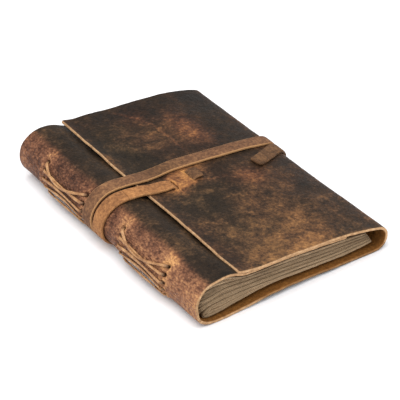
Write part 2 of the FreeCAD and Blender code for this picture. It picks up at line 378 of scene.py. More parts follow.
def carried(
    line: np.ndarray, up: np.ndarray, wide: np.ndarray, thick: np.ndarray, section: np.ndarray
) -> tuple[np.ndarray, np.ndarray]:
    """A section carried along a line, closed by a fan of quads at each end.

    Each point is line + across * section x * wide / 2 + up * section z * thick / 2, where
    up is first made square to the line's tangent and across is tangent x up.

    Args:
        line: the centre line, n x 3.
        up: a direction out of the surface beneath, n x 3.
        wide: full width at each point.
        thick: full thickness at each point.
        section: the closed section within -1 to 1.

    Returns:
        The vertices, and the quads.
    """
    t = tangents(line)
    up = up - t * np.sum(up * t, 1)[:, None]
    up /= np.linalg.norm(up, axis=1)[:, None]
    across = np.cross(t, up)
    n, m = len(line), len(section)
    ring = (
        line[:, None]
        + across[:, None] * (section[None, :, :1] * wide[:, None, None] / 2)
        + up[:, None] * (section[None, :, 1:] * thick[:, None, None] / 2)
    )
    k = np.arange(n * m).reshape(n, m)
    nxt = np.roll(k, -1, 1)
    side = np.stack([k[:-1], nxt[:-1], nxt[1:], k[1:]], -1).reshape(-1, 4)
    half = np.arange(m // 2 - 1)
    caps = []
    for row, flip in ((k[0], True), (k[-1], False)):
        cap = np.stack([row[half], row[half + 1], row[m - 2 - half], row[m - 1 - half]], 1)
        caps.append(cap if not flip else cap[:, ::-1])
    return ring.reshape(-1, 3), np.concatenate([side, *caps])


# ---------------------------------------------------------------- finishes


def add_node(tree: Tree, kind: str, links: dict | None = None, **settings) -> bpy.types.Node:
    """Adds a shader node, sets it, and fills its inputs.

    Args:
        tree: the material's node tree.
        kind: the node's type name.
        links: input name or number to a socket, which is linked, or to a plain value.
        settings: properties of the node itself.

    Returns:
        The node.
    """
    node = tree.nodes.new(kind)
    for key, value in settings.items():
        setattr(node, key, value)
    for key, value in (links or {}).items():
        if isinstance(value, Socket):
            tree.links.new(value, node.inputs[key])
        else:
            node.inputs[key].default_value = value
    return node


@dataclass(frozen=True)
class Finish:
    """What every finish has: a name, and a principled shader in a node tree of its own."""

    name: str

    def start(self) -> tuple[Material, Tree, bpy.types.Node, Socket]:
        """A new material.

        Returns:
            The material, its tree, its principled shader, and each point's own place.
        """
        material = bpy.data.materials.new(self.name)
        material.use_nodes = True
        tree = material.node_tree
        place = add_node(tree, "ShaderNodeTexCoord").outputs["Object"]
        return material, tree, tree.nodes["Principled BSDF"], place

    @staticmethod
    def mark(tree: Tree, name: str) -> Socket:
        """The value of a vertex mark."""
        return add_node(tree, "ShaderNodeAttribute", attribute_name=name).outputs["Fac"]

    @staticmethod
    def noise(
        tree: Tree,
        place: Socket,
        size: float,
        detail: float = 3.0,
        rough: float = 0.5,
        swirl: float = 0.0,
    ) -> Socket:
        """Fractal noise.

        Args:
            tree: the material's node tree.
            place: where each point is.
            size: about the size of its largest spots, mm.
            detail: how many times it is halved and added again.
            rough: how strong the smaller spots are.
            swirl: how far it is stirred.

        Returns:
            Its value, from 0 to 1.
        """
        links = {"Vector": place, "Scale": per_metre(size), "Detail": detail}
        links |= {"Roughness": rough, "Distortion": swirl}
        return add_node(tree, "ShaderNodeTexNoise", links).outputs["Fac"]

    @staticmethod
    def weigh(tree: Tree, terms: list[tuple], base: float = 0.0) -> Socket:
        """base plus the sum of each socket times its weight.

        Args:
            tree: the material's node tree.
            terms: pairs of a socket and its weight, which may be a socket too.
            base: what the sum starts from.

        Returns:
            The sum.
        """
        total: Socket | float = base
        for socket, weight in terms:
            links = {0: socket, 1: weight, 2: total}
            total = add_node(tree, "ShaderNodeMath", links, operation="MULTIPLY_ADD").outputs[0]
        return total

    @staticmethod
    def ramp(tree: Tree, value: Socket, stops: tuple) -> Socket:
        """Colours along a value.

        Args:
            tree: the material's node tree.
            value: what picks the colour, from 0 to 1.
            stops: pairs of a place along the value and a hex colour.

        Returns:
            The colour.
        """
        node = add_node(tree, "ShaderNodeValToRGB", {"Fac": value})
        elements = node.color_ramp.elements
        while len(elements) < len(stops):
            elements.new(0.5)
        for element, (place, colour) in zip(elements, stops):
            element.position = place
            element.color = linear(colour)
        return node.outputs["Color"]

    @staticmethod
    def mix(tree: Tree, amount: Socket, first: Socket | tuple, second: Socket | tuple) -> Socket:
        """Two colours mixed by an amount."""
        return add_node(tree, "ShaderNodeMix", {0: amount, 6: first, 7: second}, data_type="RGBA").outputs[2]

    @staticmethod
    def bump(tree: Tree, shader: bpy.types.Node, layers: list[tuple[Socket, float]]) -> None:
        """Stacks bumps on a shader.

        Args:
            tree: the material's node tree.
            shader: the shader whose normal they move.
            layers: pairs of a height from 0 to 1 and its depth in mm.
        """
        below = None
        for height, depth in layers:
            links = {"Height": height, "Distance": depth / 1000.0, "Strength": 1.0}
            if below is not None:
                links["Normal"] = below
            below = add_node(tree, "ShaderNodeBump", links).outputs["Normal"]
        tree.links.new(below, shader.inputs["Normal"])


@dataclass(frozen=True)
class WaxedHide(Finish):
    """Pull-up leather: wax in the hide moves when it bends, so folds and lifted spots
    turn pale rust while handled faces stay dark olive brown with a soft satin sheen."""

    patch_mm: float = 30.0
    mottle_mm: float = 12.0
    speck_mm: float = 4.0
    grain_mm: float = 1.7
    pebble_mm: float = 1.3
    fibre_mm: float = 2.2
    roughness: float = 0.40
    specular: float = 0.12
    # what the tone starts from on the flap and on the spine, and how far pebbles count
    flap_base: float = -0.74
    spine_base: float = -0.06
    pebble_share: float = 0.7
    # one tone scale, and its colours where little wax moved, much moved, and on the spine
    scale: tuple = (0.12, 0.36, 0.5, 0.62, 0.76, 0.95)
    olive: tuple = ("#17110a", "#2b2116", "#443322", "#60472d", "#7f5e3b", "#a87f54")
    rust: tuple = ("#1d110b", "#382217", "#573725", "#774d30", "#9d6b3f", "#ce9556")
    rosy: tuple = ("#20130e", "#3c251c", "#5b3b2c", "#7b533f", "#9e7153", "#cc9a68")
    flesh: tuple = ((0.2, "#573619"), (0.55, "#7d5225"), (0.9, "#9b6b37"))
    edge: tuple = ((0.25, "#8c694b"), (0.55, "#bf9870"), (0.85, "#dcbb94"))
    # the colour of painted shade, mixed in by the mark dark in the sewing holes and inside the fold
    hole: str = "#0e0906"

    def build(self) -> Material:
        """Builds the shader, which reads the marks tone, warm, pull, pebble, dark, cut and flesh; dark is
        painted shade.

        Returns:
            The material.
        """
        material, tree, shader, place = self.start()
        patch = self.noise(tree, place, self.patch_mm, 6.0, 0.6, 0.25)
        mottle = self.noise(tree, place, self.mottle_mm, 5.0, 0.65, 0.15)
        speck = self.noise(tree, place, self.speck_mm, 4.0, 0.7)
        grain = self.noise(tree, place, self.grain_mm, 3.0, 0.7)
        fibre = self.noise(tree, place, self.fibre_mm, 4.0, 0.65)
        tone, warm, pull, pebbled = (self.mark(tree, name) for name in ("tone", "warm", "pull", "pebble"))
        dark, cut, inside = (self.mark(tree, name) for name in ("dark", "cut", "flesh"))
        drawn = add_node(tree, "ShaderNodeMapping", {"Vector": place, "Scale": (1.0, 0.6, 1.0)}).outputs[0]
        links = {"Vector": drawn, "Scale": per_metre(self.pebble_mm), "Randomness": 1.0}
        cells = add_node(tree, "ShaderNodeTexVoronoi", links, feature="F1").outputs["Distance"]
        pebble = self.weigh(tree, [(cells, pebbled)])
        share = self.weigh(tree, [(pebbled, self.pebble_share)])
        common = [(tone, 0.17), (speck, 0.50), (grain, 0.62), (pull, 0.26)]
        mottled = self.weigh(tree, [*common, (patch, 0.62), (mottle, 0.66)], self.flap_base)
        calm = self.weigh(tree, [*common, (pebble, -0.30)], self.spine_base)
        level = add_node(tree, "ShaderNodeMix", {0: share, 2: mottled, 3: calm}).outputs[0]
        olive, rust, rosy = (
            self.ramp(tree, level, tuple(zip(self.scale, colours)))
            for colours in (self.olive, self.rust, self.rosy)
        )
        hue = self.weigh(tree, [(warm, 0.9), (patch, 1.2), (pull, 0.8)], -0.35)
        colour = self.mix(tree, add_node(tree, "ShaderNodeClamp", {"Value": hue}).outputs[0], olive, rust)
        colour = self.mix(tree, share, colour, rosy)
        colour = self.mix(tree, inside, colour, self.ramp(tree, fibre, self.flesh))
        colour = self.mix(tree, cut, colour, self.ramp(tree, fibre, self.edge))
        # painted shade: near black where the mark dark is set, in the sewing holes and inside the fold
        colour = self.mix(tree, dark, colour, linear(self.hole))
        tree.links.new(colour, shader.inputs["Base Color"])
        shine = self.weigh(tree, [(mottle, 0.3), (inside, 0.3), (cut, 0.2)], self.roughness)
        tree.links.new(shine, shader.inputs["Roughness"])
        shader.inputs["Specular IOR Level"].default_value = self.specular
        self.bump(tree, shader, [(pebble, -0.9), (speck, 0.35), (grain, 0.35)])
        return material


@dataclass(frozen=True)
class NappedStrap(Finish):
    """Split leather cut into a lace: velvety tan nap where fresh, brown and smoother where worn."""

    roughness: float = 0.8
    specular: float = 0.25
    edge: str = "#bd8f60"

    def build(self) -> Material:
        """Builds the shader, which reads the marks worn, old and cut.

        Returns:
            The material.
        """
        material, tree, shader, place = self.start()
        broad = self.noise(tree, place, 13.0, 4.0, 0.6)
        fibre = self.noise(tree, place, 1.7, 4.0, 0.7)
        level = self.weigh(tree, [(broad, 0.6), (fibre, 1.1)], -0.35)
        fresh = self.ramp(tree, level, ((0.2, "#57361e"), (0.5, "#8f6039"), (0.8, "#bb8450")))
        worn = self.ramp(tree, level, ((0.2, "#36241a"), (0.5, "#664630"), (0.8, "#926b48")))
        old = self.ramp(tree, level, ((0.2, "#2f2010"), (0.5, "#563b24"), (0.8, "#7c5836")))
        colour = self.mix(tree, self.mark(tree, "worn"), fresh, worn)
        colour = self.mix(tree, self.mark(tree, "old"), colour, old)
        colour = self.mix(tree, self.mark(tree, "cut"), colour, linear(self.edge))
        tree.links.new(colour, shader.inputs["Base Color"])
        shader.inputs["Roughness"].default_value = self.roughness
        shader.inputs["Specular IOR Level"].default_value = self.specular
        self.bump(tree, shader, [(broad, 0.3), (fibre, 0.3)])
        return material


@dataclass(frozen=True)
class DeckledPaper(Finish):
    """Handmade cotton paper, tea coloured and soft, with fibrous torn edges."""

    roughness: float = 0.9

    def build(self) -> Material:
        """Builds the shader, which reads the mark shade, one value for each sheet: a random tone, darker on
        the outer sheets of each signature as painted shade in the gaps between signatures.

        Returns:
            The material.
        """
        material, tree, shader, place = self.start()
        cloud = self.noise(tree, place, 9.0, 4.0, 0.6)
        fibre = self.noise(tree, place, 0.9, 3.0, 0.6)
        level = self.weigh(tree, [(self.mark(tree, "shade"), 0.7), (cloud, 0.5), (fibre, 0.3)], -0.25)
        stops = ((0.05, "#5d4833"), (0.4, "#8b7458"), (0.7, "#a68c6d"), (1.0, "#bfa787"))
        colour = self.ramp(tree, level, stops)
        tree.links.new(colour, shader.inputs["Base Color"])
        shader.inputs["Roughness"].default_value = self.roughness
        self.bump(tree, shader, [(fibre, 0.12)])
        return material


@dataclass(frozen=True)
class TanLacing(Finish):
    """Vegetable-tanned lace, hand cut: tan, burnished on its crown, and painted dark where it goes into a
    hole, as painted shade.
    """

    roughness: float = 0.55

    def build(self) -> Material:
        """Builds the shader, which reads the mark dark, the painted shade where the lace goes into a hole.

        Returns:
            The material.
        """
        material, tree, shader, place = self.start()
        broad = self.noise(tree, place, 5.0, 3.0)
        fibre = self.noise(tree, place, 0.8, 3.0, 0.6)
        level = self.weigh(tree, [(broad, 0.6), (fibre, 0.5)], 0.0)
        colour = self.ramp(tree, level, ((0.25, "#5a3a22"), (0.5, "#94673e"), (0.75, "#c79a68")))
        # painted shade at the lace's ends, where it goes into the holes
        colour = self.mix(tree, self.mark(tree, "dark"), colour, linear("#20130a"))
        tree.links.new(colour, shader.inputs["Base Color"])
        shader.inputs["Roughness"].default_value = self.roughness
        self.bump(tree, shader, [(broad, 0.15), (fibre, 0.1)])
        return material


# ---------------------------------------------------------------- the hide


class Side(Enum):
    """Which way a contour turns: the hide's grain side is to its right or to its left."""

    RIGHT = 1.0
    LEFT = -1.0


def outward(line: np.ndarray, side: Side) -> np.ndarray:
    """Unit normals of a contour in the x, z plane, on its grain side."""
    t = tangents(line)
    return side.value * np.stack([t[:, 1], -t[:, 0]], 1)


# The grain side of the flap and of the front in x and z, each as far as its free edge.
FLAP_LINE = [
    (111.5, 20.1), (96.0, 22.7), (80.0, 23.9), (63.0, 24.6), (47.0, 24.9), (37.5, 25.9), (29.6, 28.2),
]
FRONT_LINE = [
    (14.75, 29.5), (21.5, 28.9), (28.0, 26.3), (36.0, 23.0), (46.0, 22.0), (63.0, 21.7), (80.0, 21.0),
    (96.0, 19.7), (103.0, 18.8),
]


def back_flap_line() -> np.ndarray:
    """The grain side of the back, the fold and the flap, from the seam to the free edge."""
    flat = [(x, 0.0) for x in np.linspace(SEAM_X, FOLD_X - 3.0, 20)]
    return cubic_through(np.array(flat + arc(FOLD_X, FOLD_R, FOLD_R, -90, 75, 13) + FLAP_LINE))


def spine_front_line() -> np.ndarray:
    """The grain side of the spine and the front, from the seam to the free edge."""
    turn = arc(SPINE_R, SPINE_R, SPINE_R, -90, -240, 17)
    return cubic_through(np.array([(SEAM_X, 0.0), (17.5, 0.0)] + turn + FRONT_LINE))


@dataclass(frozen=True)
class Grid:
    """A sheet's rows over its contour and its columns along the spine.

    s, x and z stand in a column, one value for each row of the sheet: the distance along
    the contour, and the contour's own place there. y lies in a row, one for each column.
    """

    line: np.ndarray
    s: np.ndarray
    y: np.ndarray
    x: np.ndarray
    z: np.ndarray

    @classmethod
    def over(cls, line: np.ndarray, s: np.ndarray, y: np.ndarray) -> Grid:
        """The grid over a contour at distances s along it and places y along the spine."""
        x, z = along(line, s).T
        return cls(line, s[:, None], y, x[:, None], z[:, None])

    @property
    def from_end(self) -> np.ndarray:
        """The distance of each row from the free edge."""
        return self.s[-1] - self.s

    @property
    def from_side(self) -> np.ndarray:
        """The distance of each column from the nearer end of the cover."""
        return HALF_LENGTH - np.abs(self.y)


@dataclass
class CoverHide:
    """The hide: back, fold and flap as one sheet, spine and front as another that meets it
    in the flat of the underside."""

    row_step: float = 1.25
    column_step: float = 1.3
    fine_step: float = 0.7
    rim_clear: float = 1.2
    # distance from a cut edge, and how far each face is drawn in there
    rim: tuple = ((0.0, 0.55), (0.1, 0.28), (0.3, 0.08), (0.6, 0.0))
    corner_radius: float = 1.3
    # how far the front's two ends stay inside those of the flap
    front_inset: float = 1.5
    # the two slits: their places across the flap, their width and their ends
    slit_x: tuple = (49.3, 61.6)
    slit_gap: float = 1.3
    slit_y: tuple = ((-4.2, 4.2), (-2.6, 8.6))
    bridge_rise: float = 1.05
    lip_rise: float = 0.5
    lip_sink: float = 0.1
    # how far the flap stands off or sinks: beside the far corner, at its edge, at the near end
    fullness: float = 1.9
    corner_lift: float = 0.7
    middle_lift: float = 0.4
    near_sag: float = 0.9
    # the sewing holes: places along the spine and angles round it
    stations: tuple = (-59.5, -16.5, 21.0, 62.5)
    hole_angles: tuple = (42.0, 20.5, -1.0, -22.5, -44.0)
    # radius of the painted shade in each sewing hole
    hole_shade_radius: float = 1.05
    hole_depth: float = 1.5
    pucker_rise: float = 0.55
    station_sink: float = 0.5
    spine_slump: float = 1.6
    # how far the wax is pulled beside the top hole of each station
    pulled: tuple = (1.7, 1.3, 0.5, 1.2)
    star_x: float = 49.8
    star_y: float = -4.4
    # x, y, half width, half length, lighter or darker
    flap_tones: tuple = (
        (58, -64, 17, 14, 0.9),
        (52, -18, 7, 6, 0.9),
        (41, 50, 8, 7, 0.8),
        (52, -26, 25, 15, -0.8),
        (79, -2, 6, 12, -0.8),
        (93, -14, 11, 9, 0.5),
        (92, 42, 8, 17, 0.8),
        (71, 75, 8, 10, 0.3),
        (70, 50, 50, 45, -0.55),
        (100, -15, 30, 50, -0.25),
        (41, 48, 14, 26, -0.9),
        (78, 79, 7, 8, -0.8),
        (109, 43, 9, 14, -0.9),
        (60, -85, 50, 7, 0.7),
        (90, -70, 15, 12, 0.2),
        (128, 0, 13, 120, -1.2),
        (111, -34, 6, 12, -0.8),
        (115, -50, 5, 5, 0.9),
        (33, -66, 7, 34, -1.4),
        (33, 80, 7, 18, -1.2),
        (110, 84, 30, 17, -1.5),
        (70, 29, 26, 8, -0.8),
        (52, 80, 16, 9, -0.8),
        (108, 8, 10, 14, -0.5),
        (66, 9, 11, 6, 1.4),
    )
    # x, y, half width, half length, more or less rust
    flap_warmth: tuple = (
        (93, -14, 12, 10, 0.8),
        (93, 45, 10, 24, 0.9),
        (71, 75, 10, 12, 0.7),
        (60, 7, 14, 8, 0.7),
        (41, 48, 14, 26, -0.5),
        (52, -26, 25, 15, -0.3),
    )
    # pale creases on the flap: the places they pass, and how strong they are
    creases: tuple = (
        (((63, 82), (69, 73), (75, 62), (76, 45), (76, 26)), 0.5),
        (((69, 73), (84, 62), (97, 56)), 0.3),
        (((64, -2), (72, -6), (80, -7)), 0.5),
    )

    def columns(self, fine_at: tuple = ()) -> np.ndarray:
        """Places along the spine: even, finer near some of them, and the rim's own at each end.

        Args:
            fine_at: places that have closer columns for 8 mm on each side.

        Returns:
            The places, in order.
        """
        edge = np.array([d for d, _ in self.rim])
        inner = np.arange(-HALF_LENGTH + self.rim_clear, HALF_LENGTH - self.rim_clear, self.column_step)
        close = [np.arange(c - 8.0, c + 8.0, self.fine_step) for c in fine_at]
        for c in close:
            inner = inner[(inner < c[0] - 0.4) | (inner > c[-1] + 0.4)]
        return np.sort(np.concatenate([inner, *close, -HALF_LENGTH + edge, HALF_LENGTH - edge]))

    def rows(self, length: float, extra: tuple = (), fine: tuple | None = None) -> np.ndarray:
        """Distances along a contour: even, finer in one stretch, with the last rim's own.

        Args:
            length: the contour's length.
            extra: distances that have to be among them.
            fine: the first and last distance of the finer stretch.

        Returns:
            The distances, in order.
        """
        base = np.arange(0.0, length - self.rim_clear, self.row_step)
        if fine:
            base = base[(base < fine[0]) | (base > fine[1])]
            base = np.concatenate([base, np.arange(*fine, self.fine_step)])
        for e in extra:
            base = base[np.abs(base - e) > 0.5]
        edge = length - np.array([d for d, _ in self.rim])
        return np.sort(np.concatenate([base, extra, edge]))

    def rim_inset(self, g: Grid) -> np.ndarray:
        """How far each face is drawn in near a cut edge, so that the edge is rounded."""
        at, inset = zip(*self.rim)
        return np.maximum(np.interp(g.from_end, at, inset), np.interp(g.from_side, at, inset))

    def surface(self, g: Grid, side: Side, rise: np.ndarray, corner: float) -> list[np.ndarray]:
        """The two faces of a sheet over a contour.

        A point is the contour's, moved by rise along its normal (less the leather's
        thickness for the inside), drawn in at the rims, with the lift of the underside
        times 1 - z / c added to z, where c is the height of the nearer round's centre.
        Near the free edge the width follows a quarter circle.

        Args:
            g: the sheet's rows and columns.
            side: where the contour's grain side is.
            rise: rows x columns heights above the contour.
            corner: radius of the free edge's corners.

        Returns:
            The outside and the inside grid.
        """
        s = g.s[:, 0]
        normal = np.stack([np.interp(s, length_of(g.line), n) for n in outward(g.line, side).T], 1)
        normal /= np.linalg.norm(normal, axis=1)[:, None]
        inset = self.rim_inset(g)
        near = np.clip(corner - g.from_end, 0.0, corner)
        half = HALF_LENGTH - (corner - np.sqrt(corner**2 - near**2))
        wobble = 0.28 * line_noise(g.s, 9.0, 5) + 0.14 * line_noise(g.s, 3.0, 6)
        if side is Side.LEFT:
            wobble = wobble - self.front_inset * ease((g.x - 31.0) / 9.0) * (g.z > 15)
        taper = ease((np.abs(g.y) - 78.0) / 9.0)
        y = g.y * (half / HALF_LENGTH) + np.sign(g.y) * (taper * wobble)
        centre = np.where(g.x < HALF_BODY, SPINE_R, FOLD_R)
        up = (under_lift(g.y) + near_bow(g.x, g.y)) * np.clip(1.0 - g.z / centre, 0, 1)
        grids = []
        for depth in (rise - inset, rise - LEATHER + inset):
            x = g.x + normal[:, :1] * depth
            z = g.z + normal[:, 1:] * depth + up
            grids.append(np.stack([x + fore_edge_skew(x, y), y, z], -1))
        return grids

    @staticmethod
    def waves(g: Grid, seed: int) -> np.ndarray:
        """The gentle unevenness of handled leather: three sizes of value noise added."""
        layers = enumerate(((27.0, 0.26), (9.0, 0.12), (3.5, 0.04)))
        return sum(height * lattice_noise(g.s, g.y, size, seed + k) for k, (size, height) in layers)

    def marks(
        self,
        g: Grid,
        tone: np.ndarray,
        warm: np.ndarray,
        pull: np.ndarray,
        pebble: np.ndarray | float,
        dark: np.ndarray | float,
        hollow_shade: np.ndarray,
        bright: np.ndarray | float,
    ) -> dict[str, np.ndarray]:
        """Vertex marks for the outside and the inside, one after the other.

        Args:
            g: the sheet's rows and columns.
            tone: lightness of the grain side.
            warm: how much rust it has.
            pull: how far its wax is pulled.
            pebble: how pebbled it is.
            dark: painted shade on the outside, in the sewing holes.
            hollow_shade: painted shade on the inside, in the sewing holes and inside the fold.
            bright: how bright the cut edge is.

        Returns:
            The marks by name.
        """
        cut = np.clip(self.rim_inset(g) / 0.28, 0, 1) * bright
        pairs = {
            "tone": (tone, tone),
            "warm": (warm, warm),
            "pull": (np.clip(pull, 0, 1.5), 0.0),
            "pebble": (pebble, 0.0),
            "dark": (dark, hollow_shade),
            "cut": (cut, cut),
            "flesh": (0.0, 1.0),
        }
        return {
            key: np.concatenate([np.broadcast_to(face, cut.shape).ravel() for face in pair])
            for key, pair in pairs.items()
        }

    def back_and_flap(self, finish: Material) -> bpy.types.Object:
        """The back, the fold and the flap, with the two slits that the strap goes through.

        Args:
            finish: the hide's material.

        Returns:
            The sheet.
        """
        line = back_flap_line()
        s_line = length_of(line)
        top = line[:, 1] > 15.0
        slits = [float(np.interp(-x, -line[top, 0], s_line[top])) for x in self.slit_x]
        gap = self.slit_gap / 2
        y = self.columns()
        for edge in sum(self.slit_y, ()):
            y = np.append(y[np.abs(y - edge) > 0.3], edge)
        s = self.rows(s_line[-1], tuple(c + d for c in slits for d in (-gap, gap)))
        g = Grid.over(line, s, np.sort(y))
        bridge = ((g.s > slits[1] + gap - 0.01) & (g.s < slits[0] - gap + 0.01)).astype(float)
        middle = (self.slit_y[0][0] + self.slit_y[1][1]) / 2
        hump = 1.0 - ease((np.abs(g.y - middle) - 5.0) / 3.5)
        cell_s, cell_y = ((v[:-1] + v[1:]) / 2 for v in (g.s, g.y))
        gone = np.zeros((len(cell_s), len(cell_y)), bool)
        for c, (low, high) in zip(slits, self.slit_y):
            gone |= (np.abs(cell_s - c) < gap) & (cell_y > low) & (cell_y < high)
        rise = self.flap_relief(g, slits, bridge, hump)
        points, faces = closed_sheet(*self.surface(g, Side.RIGHT, rise, self.corner_radius), gone)
        marks = self.flap_wear(g, slits, bridge, hump)
        return self.dress(put_mesh("cover_back_flap", points, faces, marks), finish)

    def flap_relief(self, g: Grid, slits: list[float], bridge: np.ndarray, hump: np.ndarray) -> np.ndarray:
        """Heights of the back, the fold and the flap above their contour.

        The sum of the waves, a hump where the bridge of hide lies over the strap, a lip
        at each slit, a curl that fades from the free edge, a full part and a sag.

        Args:
            g: the sheet's rows and columns.
            slits: distances of the two slits along the contour.
            bridge: 1 on the rows between the slits.
            hump: 1 on the columns over the strap, fading beside it.

        Returns:
            The heights, rows x columns.
        """
        on_top = ease((g.z - 14.0) / 4.0)
        flat = ease((SEAM_X + 6 - g.x) / 6) * (g.z < 5)
        rise = self.waves(g, 11) * (1 - ease((4.0 - g.z) / 4.0)) * (1 - flat)
        rise += bridge * hump * self.bridge_rise
        for c in slits:
            rise += hill(g.s, c, 2.2) * hump * (self.lip_rise * (1 - bridge) - self.lip_sink)
        rise += self.fullness * (hill(g.x, 45.0, 12.0) * on_top) * ease((g.y - 38.0) / 45.0)
        free = 0.5 * line_noise(g.y, 24.0, 31) + 0.2 * line_noise(g.y, 8.0, 32)
        lifted = self.corner_lift * hill(g.y, HALF_LENGTH, 20.0) + self.middle_lift * hill(g.y, 5.0, 14.0)
        rise += np.exp(-g.from_end / 5.0) * (free * 0.7)
        rise += np.exp(-g.from_end / 14.0) * lifted
        return rise - self.near_sag * (hill(g.x, 92.0, 20.0) * on_top) * ease((-g.y - 45.0) / 40.0)

    def flap_wear(
        self, g: Grid, slits: list[float], bridge: np.ndarray, hump: np.ndarray
    ) -> dict[str, np.ndarray]:
        """The marks of the back, the fold and the flap.

        Wax is pulled at the slits' lips, on the bridge, in a star beside the first slit,
        along the free edge and in the creases. Inside the fold the upper inner face is painted dark, as
        painted shade.

        Args:
            g: the sheet's rows and columns.
            slits: distances of the two slits along the contour.
            bridge: 1 on the rows between the slits.
            hump: 1 on the columns over the strap, fading beside it.

        Returns:
            The marks by name.
        """
        on_top = ease((g.z - 14.0) / 4.0)
        tone = bumps(g.x, g.y, self.flap_tones) * on_top - 0.2 * (1 - on_top)
        warm = bumps(g.x, g.y, self.flap_warmth) * on_top + 0.25 * (1 - on_top) + 0.5 * bridge * hump
        dx, dy = g.x - self.star_x, g.y - self.star_y
        star = hill(np.hypot(dx, dy), 0.0, 5.5) * (0.8 + 0.35 * np.cos(8 * np.arctan2(dx, dy))) * on_top
        lips = sum(hill(g.s, c, 1.4) for c in slits) * hump
        pull = np.clip(0.9 * lips + 0.55 * bridge * hump + 1.1 * star, 0, 1.2)
        pull += 0.4 * np.exp(-g.from_end / 5.0)
        scuffed = g.x + 0.8 * lattice_noise(g.x, g.y, 7.0, 51)
        for path, strength in self.creases:
            pull += strength * crease(scuffed, g.y, path, 1.0) * on_top
        # painted shade inside the fold, on its upper inner face, fading towards both ends of the cover
        hollow_shade = hill(g.z, 13.5, 3.5) * ease((g.x - 117.0) / 5.0)
        inside = 0.8 * hollow_shade * ease((g.from_side - 1.0) / 6.0)
        # the cut edge of the lower rim past x 38 is painted dimmer, as painted shade
        bright = 1.0 - 0.7 * (ease((g.x - 38.0) / 12.0) * (g.z < 4.0))
        return self.marks(g, tone, warm, pull, 0.0, 0.0, inside, bright)

    def spine_and_front(self, finish: Material) -> bpy.types.Object:
        """The spine, puckered round its sewing holes, and the front that the flap covers.

        Each hole is a pit with painted shade in it and a scalloped ring round it, and a star of pulled wax
        lies beside the top hole of each station. The spine slumps towards the near end.

        Args:
            finish: the hide's material.

        Returns:
            The sheet.
        """
        line = spine_front_line()
        s_line = length_of(line)
        g = Grid.over(line, self.rows(s_line[-1], (), (8.0, 52.0)), self.columns(self.stations))
        leftmost = s_line[np.argmin(line[:, 0])]
        spine = hill(g.s, leftmost, 19.0, 4)
        rise = self.waves(g, 41) * ease((g.z - 1.0) / 6.0)
        pull, dark = np.zeros_like(rise), np.zeros_like(rise)
        for row, angle in enumerate(self.hole_angles):
            for k, station in enumerate(self.stations):
                ds, dy = g.s - (leftmost + math.radians(angle) * SPINE_R), g.y - station
                far = np.hypot(ds, dy)
                ray = np.cos(5 * np.arctan2(ds, dy) + row * 1.7 + k * 2.3)
                ring = self.pucker_rise * hill(far, 3.3, 1.5) * (0.75 + 0.45 * ray)
                rise += -self.hole_depth * hill(far, 0.0, 1.35) + ring
                pull = np.maximum(pull, hill(far, 2.6, 2.2) * (0.45 + 0.3 * ray))
                # painted shade: a near-black disc in each sewing hole
                dark = np.maximum(dark, hill(far, 0.0, self.hole_shade_radius, 4))
        slump = ease((g.z - 4.0) / 8.0) * (1.0 - ease((g.x - 16.0) / 9.0))
        rise -= self.spine_slump * slump * ease((-g.y - 42.0) / 42.0)
        under_flap = (g.z > 15) * ease((g.x - 21.0) / 8.0)
        pressed = 0.75 + 0.5 * hill(g.x, 33.0, 5.0) - 0.9 * hill(g.x, 92.0, 20.0)
        rise += under_flap * ease((-g.y - 60.0) / 22.0) * pressed
        for k, station in enumerate(self.stations):
            ds = g.s - (leftmost + math.radians(self.hole_angles[0]) * SPINE_R + 3.4)
            rays = np.cos(9 * np.arctan2(ds, g.y - station) + k)
            star = hill(np.hypot(ds, g.y - station), 0.0, 5.2) * (0.8 + 0.35 * rays)
            pull = np.maximum(pull, self.pulled[k] * star)
            rise += 0.35 * star * rays
        for station in self.stations:
            rise -= self.station_sink * hill(g.y, station, 3.0) * spine
        points, faces = closed_sheet(*self.surface(g, Side.LEFT, rise, 0.0))
        strip = ease((g.x - 8.0) / 6.0) * (g.z > 15)
        tone = 0.95 * spine - strip - 0.2 * spine * ease((g.y + 30) / 60.0)
        tone = tone + 0.5 * spine * ease((g.y - 77.0) / 5.0) + 0.3 * spine * ease((-72.0 - g.y) / 8.0)
        tone = tone + 0.7 * spine * ease(-g.y / 50.0)
        warm = 0.9 * spine - 0.6 * strip
        pebble = np.clip(spine + 0.25, 0, 1) * (1 - strip * 0.5)
        # the mark dark carries the painted shade of the holes, outside and, at 0.6, inside
        marks = self.marks(g, tone, warm, pull, pebble, dark, dark * 0.6, 1.0)
        return self.dress(put_mesh("cover_spine_front", points, faces, marks), finish)

    @staticmethod
    def dress(sheet: bpy.types.Object, finish: Material) -> bpy.types.Object:
        """Gives a sheet its finish."""
        sheet.data.materials.append(finish)
        return sheet

    def build(self, finish: Material) -> list[bpy.types.Object]:
        """Both sheets, built in place of the frame's back, fold, flap, spine and front, which are hidden.

        Args:
            finish: the hide's material.

        Returns:
            The two objects.
        """
        back = self.back_and_flap(finish)
        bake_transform(back)
        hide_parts("back_cover", "fore_edge_fold", "flap")
        front = self.spine_and_front(finish)
        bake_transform(front)
        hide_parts("spine_wall", "front_cover")
        return [back, front]


# ---------------------------------------------------------------- the strap


def girth_line() -> np.ndarray:
    """Once round the closed notebook in its middle; the strap lies on it.

    It goes from the top of the spine down, under the raised underside, up the fold and
    back over the flap. The lower half of each round is raised by UNDER_LIFT (1 - z / r).

    Returns:
        The line in x and z, evenly spaced.
    """
    spine = np.array(arc(SPINE_R, SPINE_R, SPINE_R, 90, 270, 19))
    fold = np.array(arc(FOLD_X, FOLD_R, FOLD_R, -90, 75, 12))
    for turn, radius in ((spine, SPINE_R), (fold, FOLD_R)):
        turn[:, 1] += UNDER_LIFT * np.clip(1 - turn[:, 1] / radius, 0, None)
    under = [(x, UNDER_LIFT) for x in np.linspace(SEAM_X, FOLD_X - 4.0, 18)]
    over = [*FLAP_LINE, (23.0, 29.1), (17.2, 29.6)]
    return cubic_through(np.concatenate([[(17.0, 29.6)], spine, under, fold, over]))


